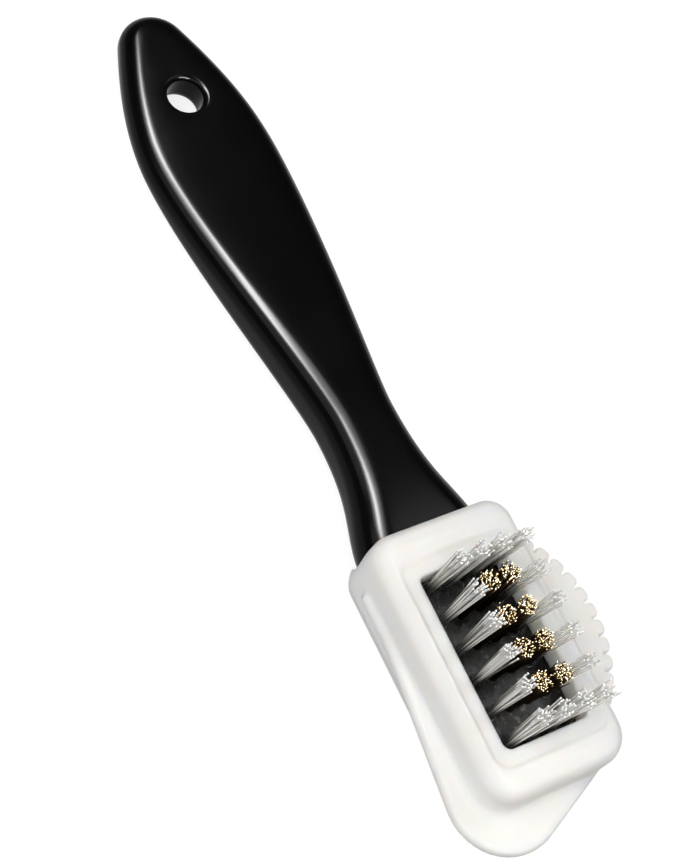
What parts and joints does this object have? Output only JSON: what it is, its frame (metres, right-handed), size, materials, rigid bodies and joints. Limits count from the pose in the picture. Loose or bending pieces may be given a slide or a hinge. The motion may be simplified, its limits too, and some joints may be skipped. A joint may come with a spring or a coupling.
{
  "type": "suede brush",
  "caption": "Hand brush for suede: glossy plastic handle with a hang hole, soft rubber sleeve with a smooth wing and a toothed edge, and nylon and brass bristle tufts in its window.",
  "frame": {"origin": "on the sleeve's flat back, under the middle of the bristle window", "axes": "+X along the handle to the tip of the head, +Y to the toothed side, +Z out of the bristle face; the brush lies on its back"},
  "size_m": [0.1688, 0.0434, 0.0294],
  "materials": {
    "handle_plastic": "polished black moulding",
    "sleeve_rubber": "soft satin ivory rubber",
    "nylon_bristle": "translucent white filaments",
    "brass_wire": "drawn wire, bright at the cut tips",
    "anchor_steel": "flat drawn wire"
  },
  "bodies": {
    "root": {"handle": "handle_plastic", "rubber_sleeve": "sleeve_rubber", "nylon_tuft_row1_column1": "nylon_bristle", "nylon_tuft_row1_column2": "nylon_bristle", "nylon_tuft_row1_column3": "nylon_bristle", "nylon_tuft_row1_column4": "nylon_bristle", "nylon_tuft_row2_column1": "nylon_bristle", "brass_tuft_row2_column2": "brass_wire", "brass_tuft_row2_column3": "brass_wire", "nylon_tuft_row2_column4": "nylon_bristle", "nylon_tuft_row3_column1": "nylon_bristle", "brass_tuft_row3_column2": "brass_wire", "brass_tuft_row3_column3": "brass_wire", "nylon_tuft_row3_column4": "nylon_bristle", "nylon_tuft_row4_column1": "nylon_bristle", "brass_tuft_row4_column2": "brass_wire", "brass_tuft_row4_column3": "brass_wire", "nylon_tuft_row4_column4": "nylon_bristle", "nylon_tuft_row5_column1": "nylon_bristle", "brass_tuft_row5_column2": "brass_wire", "brass_tuft_row5_column3": "brass_wire", "nylon_tuft_row5_column4": "nylon_bristle", "nylon_tuft_row6_column1": "nylon_bristle", "nylon_tuft_row6_column2": "nylon_bristle", "nylon_tuft_row6_column3": "nylon_bristle", "nylon_tuft_row6_column4": "nylon_bristle", "tuft_anchors": "anchor_steel"}
  },
  "joints": []
}
